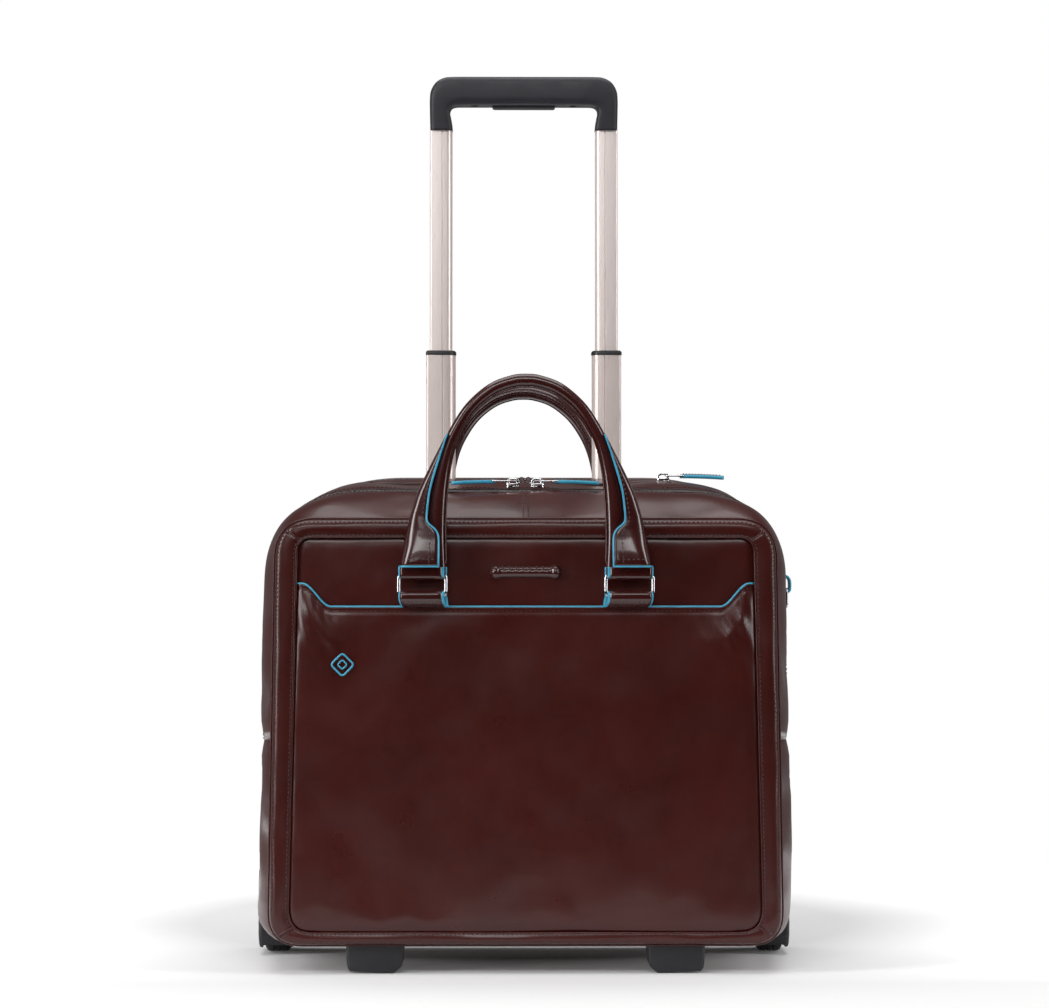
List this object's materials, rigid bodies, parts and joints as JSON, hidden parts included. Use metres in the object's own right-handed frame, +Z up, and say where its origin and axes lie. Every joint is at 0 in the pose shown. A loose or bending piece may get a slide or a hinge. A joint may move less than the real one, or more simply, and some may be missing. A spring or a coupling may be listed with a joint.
{
  "type": "rolling laptop case",
  "caption": "Soft leather case for a laptop and papers on rear corner wheels, with a telescopic pull handle, ring-mounted carry handles and a zipped top.",
  "frame": {"origin": "on the floor under the middle of the case, at rest on its wheels and front feet", "axes": "+Z up, +X to the right of someone looking at the front, +Y from the front to the back"},
  "size_m": [0.429, 0.2196, 0.7178],
  "materials": {
    "leather": "smooth polished dark brown",
    "piped_leather": "smooth polished dark brown with painted blue edges",
    "edge_blue": "edge-painted light blue",
    "lining": "woven lining",
    "stiffener": "moulded",
    "black_plastic": "fine matt texture",
    "grip_plastic": "fine matt texture",
    "tube": "satin champagne anodised",
    "steel": "polished",
    "zip_tape": "woven tape",
    "tread": "matt"
  },
  "bodies": {
    "case": {"base_gusset": "leather", "rear_gusset": "leather", "back_panel": "leather", "base_board": "stiffener", "inner_back_board": "stiffener", "laptop_divider": "lining", "zip_tape_rear": "zip_tape", "laptop_zip_tape": "zip_tape", "front_frame_lower": "leather", "front_panel_lower": "leather", "front_pocket_lower": "piped_leather", "top_bezel": "black_plastic", "side_loop": "leather", "fixed_tube_left": "tube", "fixed_tube_right": "tube", "back_anchor_left": "piped_leather", "back_anchor_right": "piped_leather", "wheel_housing_left": "black_plastic", "wheel_housing_right": "black_plastic", "axle_left": "steel", "axle_right": "steel", "foot_left": "tread", "foot_right": "tread"},
    "front_cover": {"front_frame_upper": "leather", "front_panel_upper": "leather", "front_pocket_upper": "piped_leather", "front_gusset": "leather", "zip_tape_front": "zip_tape", "name_bar": "leather", "front_anchor_left": "piped_leather", "front_anchor_right": "piped_leather"},
    "front_rings": {"front_ring_left": "steel", "front_ring_right": "steel"},
    "front_handle": {"front_handle": "piped_leather"},
    "back_rings": {"back_ring_left": "steel", "back_ring_right": "steel"},
    "back_handle": {"back_handle": "piped_leather"},
    "middle_stage": {"middle_tube_left": "tube", "middle_tube_right": "tube", "collar_left": "black_plastic", "collar_right": "black_plastic"},
    "upper_stage": {"inner_tube_left": "tube", "inner_tube_right": "tube", "grip": "grip_plastic"},
    "release": {"release_button": "black_plastic", "release_rod_left": "steel", "release_rod_right": "steel"},
    "lock_pin_left": {"lock_pin_left": "steel"},
    "lock_pin_right": {"lock_pin_right": "steel"},
    "wheel_left": {"tyre_left": "tread", "hub_left": "black_plastic"},
    "wheel_right": {"tyre_right": "tread", "hub_right": "black_plastic"},
    "side_ring": {"side_ring": "steel"},
    "slider_main_left": {"slider_main_left": "steel"},
    "pull_main_left": {"pull_main_left": "edge_blue"},
    "slider_main_right": {"slider_main_right": "steel"},
    "pull_main_right": {"pull_main_right": "edge_blue"},
    "slider_laptop": {"slider_laptop": "steel"},
    "pull_laptop": {"pull_laptop": "edge_blue"}
  },
  "joints": [
    {"name": "middle_stage_slide", "type": "slide", "parent": "case", "child": "middle_stage", "axis": [0, 0, 1], "range_m": [-0.1, 0.14]},
    {"name": "upper_stage_slide", "type": "slide", "parent": "middle_stage", "child": "upper_stage", "axis": [0, 0, 1], "range_m": [-0.18, 0.065]},
    {"name": "release_button_press", "type": "slide", "parent": "upper_stage", "child": "release", "axis": [0, 0, 1], "range_m": [0, 0.003], "stiffness_N_per_m": 800, "springref_m": -0.002},
    {"name": "lock_pin_left_draw", "type": "slide", "parent": "upper_stage", "child": "lock_pin_left", "axis": [1, 0, 0], "range_m": [0, 0.0009]},
    {"name": "lock_pin_right_draw", "type": "slide", "parent": "upper_stage", "child": "lock_pin_right", "axis": [-1, 0, 0], "range_m": [0, 0.0009]},
    {"name": "wheel_left_spin", "type": "hinge", "parent": "case", "child": "wheel_left", "pos_m": [-0.2005, 0.072, 0.03], "axis": [1, 0, 0], "continuous": true},
    {"name": "wheel_right_spin", "type": "hinge", "parent": "case", "child": "wheel_right", "pos_m": [0.2005, 0.072, 0.03], "axis": [1, 0, 0], "continuous": true},
    {"name": "front_cover_fold", "type": "hinge", "parent": "case", "child": "front_cover", "pos_m": [0, -0.098, 0.17915], "axis": [1, 0, 0], "range_deg": [0, 20]},
    {"name": "front_rings_swing", "type": "hinge", "parent": "front_cover", "child": "front_rings", "pos_m": [0, -0.1043, 0.291], "axis": [1, 0, 0], "range_deg": [0, 100]},
    {"name": "front_handle_swing", "type": "hinge", "parent": "front_rings", "child": "front_handle", "pos_m": [0, -0.1043, 0.3072], "axis": [1, 0, 0], "range_deg": [-2, 75]},
    {"name": "back_rings_swing", "type": "hinge", "parent": "case", "child": "back_rings", "pos_m": [0, 0.1043, 0.291], "axis": [-1, 0, 0], "range_deg": [0, 100]},
    {"name": "back_handle_swing", "type": "hinge", "parent": "back_rings", "child": "back_handle", "pos_m": [0, 0.1043, 0.3072], "axis": [-1, 0, 0], "range_deg": [-2, 75]},
    {"name": "slider_main_left_run", "type": "slide", "parent": "case", "child": "slider_main_left", "axis": [-1, 0, 0], "range_m": [0, 0.112]},
    {"name": "slider_main_right_run", "type": "slide", "parent": "case", "child": "slider_main_right", "axis": [1, 0, 0], "range_m": [0, 0.112]},
    {"name": "slider_laptop_run", "type": "slide", "parent": "case", "child": "slider_laptop", "axis": [-1, 0, 0], "range_m": [0, 0.229]},
    {"name": "pull_main_left_lift", "type": "hinge", "parent": "slider_main_left", "child": "pull_main_left", "pos_m": [-0.0117, -0.03, 0.3812], "axis": [0, 1, 0], "range_deg": [0, 110]},
    {"name": "pull_main_right_lift", "type": "hinge", "parent": "slider_main_right", "child": "pull_main_right", "pos_m": [0.0117, -0.03, 0.3812], "axis": [0, -1, 0], "range_deg": [0, 110]},
    {"name": "pull_laptop_lift", "type": "hinge", "parent": "slider_laptop", "child": "pull_laptop", "pos_m": [0.1142, 0.022, 0.3872], "axis": [0, -1, 0], "range_deg": [0, 110]},
    {"name": "side_ring_swing", "type": "hinge", "parent": "case", "child": "side_ring", "pos_m": [0.2092, 0, 0.296], "axis": [0, -1, 0], "range_deg": [0, 100]}
  ],
  "couplings": [
    {"joint": "lock_pin_left_draw", "follows": "release_button_press", "ratio": 0.3},
    {"joint": "lock_pin_right_draw", "follows": "release_button_press", "ratio": 0.3}
  ]
}
